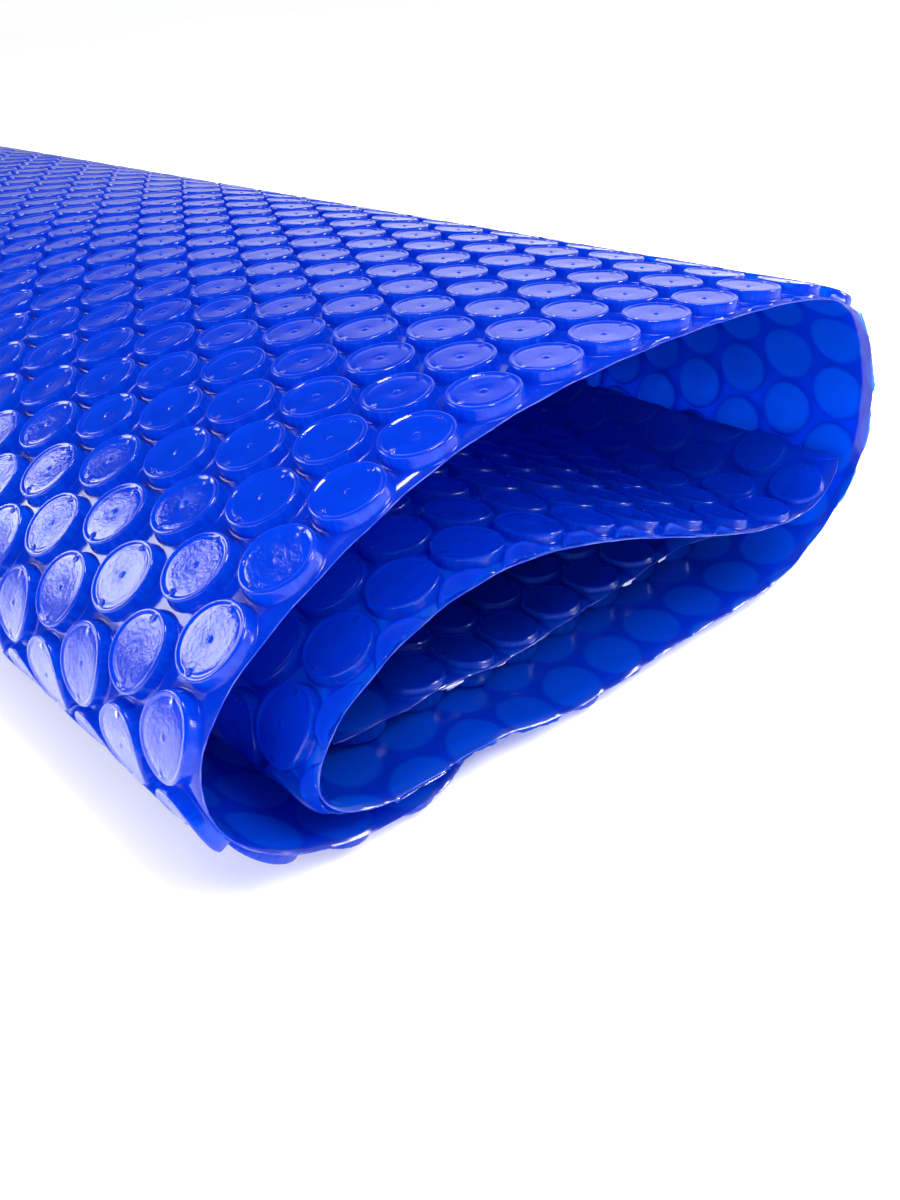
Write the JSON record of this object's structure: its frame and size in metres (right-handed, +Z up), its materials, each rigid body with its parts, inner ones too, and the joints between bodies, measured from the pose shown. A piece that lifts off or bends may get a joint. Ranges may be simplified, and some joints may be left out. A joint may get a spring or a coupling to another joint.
{
  "type": "rolled solar bubble pool cover",
  "caption": "Loosely rolled length of blue solar bubble film for covering a pool, lying on its side with the cut end flush.",
  "frame": {"origin": "centre of the roll's footprint, on the surface it lies on", "axes": "+Y along the roll from the flush cut end to the far end, +Z up, +X across the roll towards the high right wall"},
  "size_m": [0.2053, 0.56, 0.0744],
  "materials": {
    "bubble_film": "glossy translucent blue thermoformed polyethylene",
    "backing_film": "smooth translucent blue polyethylene"
  },
  "bodies": {
    "root": {"bubble_film_tail": "bubble_film", "backing_film_tail": "backing_film", "bubble_film_left_bend": "bubble_film", "backing_film_left_bend": "backing_film", "bubble_film_top": "bubble_film", "backing_film_top": "backing_film", "bubble_film_right_bend": "bubble_film", "backing_film_right_bend": "backing_film", "bubble_film_bottom": "bubble_film", "backing_film_bottom": "backing_film", "bubble_film_inner_turn": "bubble_film", "backing_film_inner_turn": "backing_film", "bubble_film_inner": "bubble_film", "backing_film_inner": "backing_film", "bubble_film_nose": "bubble_film", "backing_film_nose": "backing_film", "bubble_film_core": "bubble_film", "backing_film_core": "backing_film"}
  },
  "joints": []
}
